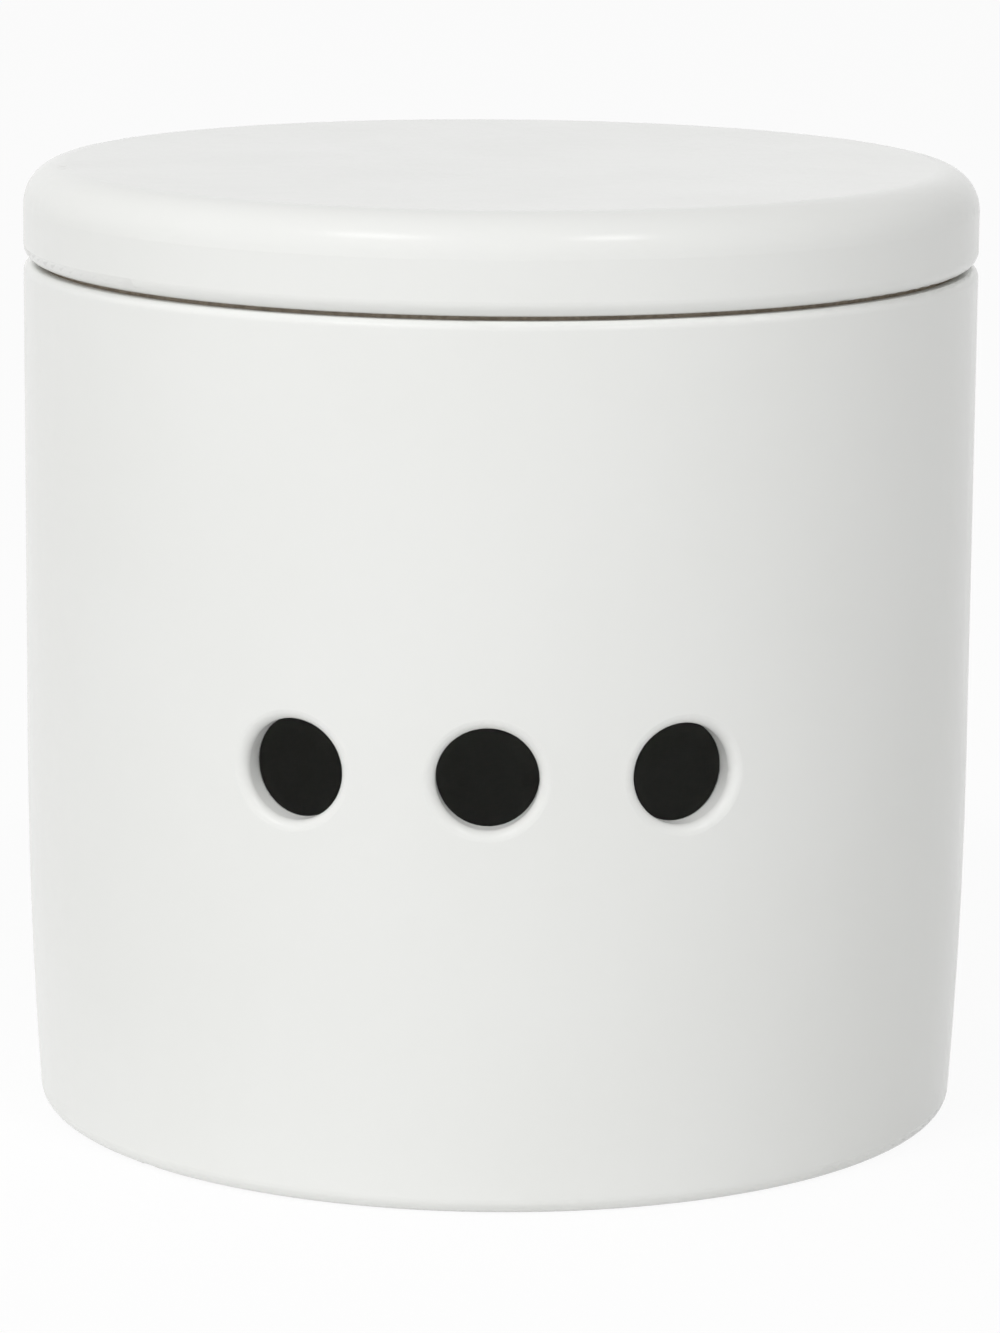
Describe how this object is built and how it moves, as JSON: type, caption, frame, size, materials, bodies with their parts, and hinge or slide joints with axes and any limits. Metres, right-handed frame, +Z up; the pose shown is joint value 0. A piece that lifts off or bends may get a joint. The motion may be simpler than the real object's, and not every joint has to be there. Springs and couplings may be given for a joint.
{
  "type": "garlic keeper",
  "caption": "White stoneware garlic keeper: a cylindrical pot with round air vents in the front and a thick disc lid that lifts off.",
  "frame": {"origin": "under the middle of the foot ring, on the plane that the pot stands on", "axes": "+Z up along the pot's axis; the middle vent faces -Y; +X is to the right of someone who faces the vents"},
  "size_m": [0.115, 0.115, 0.1151],
  "materials": {
    "pot_glaze": "satin",
    "lid_glaze": "satin"
  },
  "bodies": {
    "pot": {"pot": "pot_glaze"},
    "lid": {"lid": "lid_glaze"}
  },
  "joints": [
    {"name": "lid_lift", "type": "slide", "parent": "pot", "child": "lid", "axis": [0, 0, 1], "range_m": [0, 0.08]}
  ]
}
